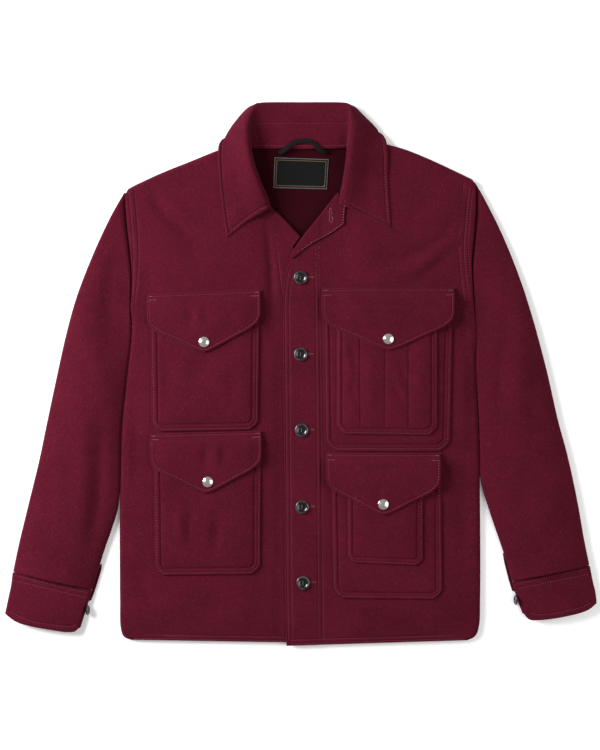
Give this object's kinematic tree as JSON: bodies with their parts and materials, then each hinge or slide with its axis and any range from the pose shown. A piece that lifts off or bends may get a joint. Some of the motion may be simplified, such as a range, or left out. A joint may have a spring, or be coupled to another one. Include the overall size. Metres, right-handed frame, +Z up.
{
  "type": "mackinaw jacket",
  "caption": "Heavy wool jacket laid flat on its back, with a turned-down collar, buttoned front, patch pockets under snapped flaps, and banded cuffs.",
  "frame": {"origin": "centre of the bounding box at its bottom, on the surface that the jacket lies on", "axes": "+Z up off the surface, through the front of the jacket; +Y towards the collar; +X towards the viewer's right sleeve"},
  "size_m": [0.8595, 0.7895, 0.0303],
  "materials": {
    "wool": "burgundy melton wool, napped and lightly flecked",
    "button": "polished black four-hole button",
    "snap": "polished nickel snap cap",
    "tape": "black twill tape",
    "label": "black woven label with a plain light border"
  },
  "bodies": {
    "root": {"back": "wool", "front_left": "wool", "front_right": "wool", "lapel_left": "wool", "lapel_right": "wool", "sleeve_left": "wool", "sleeve_right": "wool", "cuff_left": "wool", "cuff_right": "wool", "cuff_placket_left": "wool", "cuff_placket_right": "wool", "collar": "wool", "pocket_upper_left": "wool", "pocket_lower_left": "wool", "pocket_upper_right": "wool", "pencil_pocket_right": "wool", "pocket_lower_right": "wool", "small_pocket_right": "wool", "flap_upper_left": "wool", "flap_lower_left": "wool", "flap_upper_right": "wool", "flap_lower_right": "wool", "button_1": "button", "button_2": "button", "button_3": "button", "button_4": "button", "button_5": "button", "cuff_button_left": "button", "cuff_button_right": "button", "snap_upper_left": "snap", "snap_lower_left": "snap", "snap_upper_right": "snap", "snap_lower_right": "snap", "hang_loop": "tape", "label": "label"}
  },
  "joints": []
}
